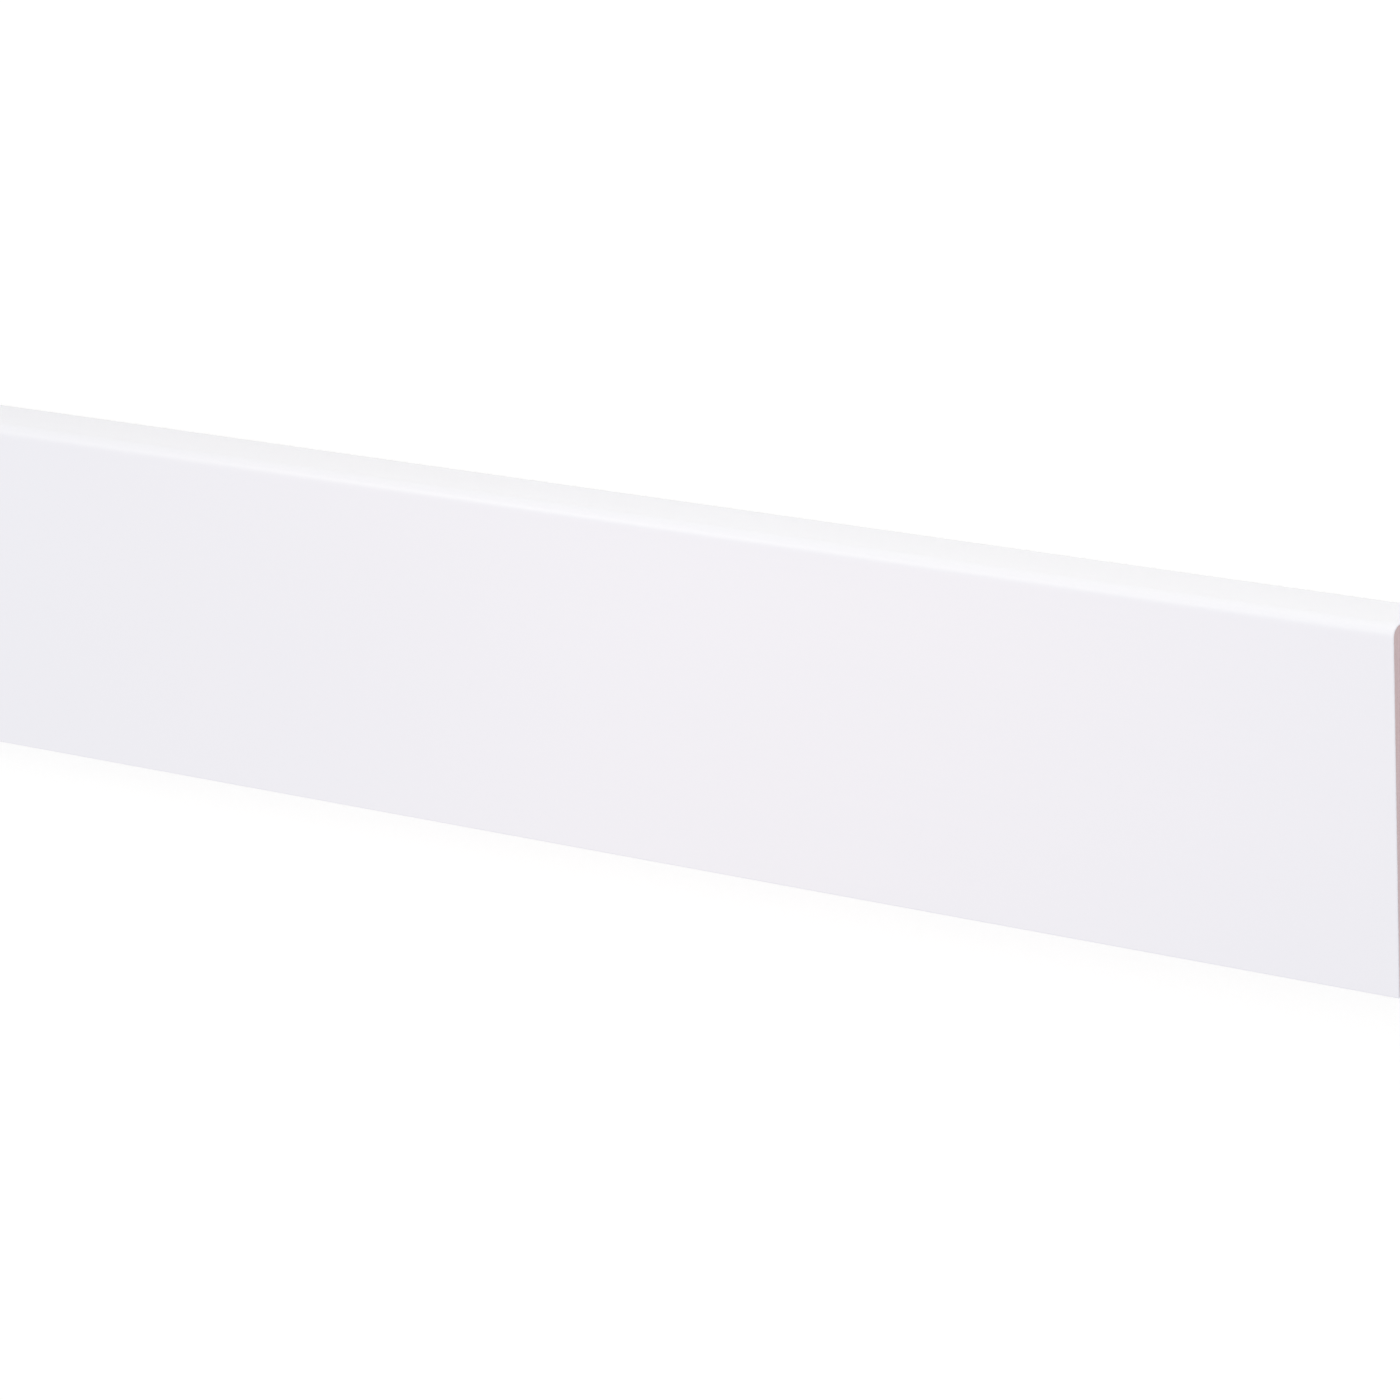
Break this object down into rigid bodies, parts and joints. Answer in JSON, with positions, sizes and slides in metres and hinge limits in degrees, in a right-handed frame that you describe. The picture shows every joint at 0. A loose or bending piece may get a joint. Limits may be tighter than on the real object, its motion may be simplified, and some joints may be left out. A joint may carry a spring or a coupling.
{
  "type": "skirting board",
  "caption": "Straight length of flat skirting board, white on its face and edges, with a small rounded top front edge; covers the joint between wall and floor.",
  "frame": {"origin": "centre of the back, the face that is fixed to the wall, which lies on the floor", "axes": "+X along the length, +Y from the floor edge to the rounded top edge, +Z out of the white face"},
  "size_m": [2.4, 0.07, 0.015],
  "materials": {
    "white_board": "satin"
  },
  "bodies": {
    "root": {"skirting_board": "white_board"}
  },
  "joints": []
}
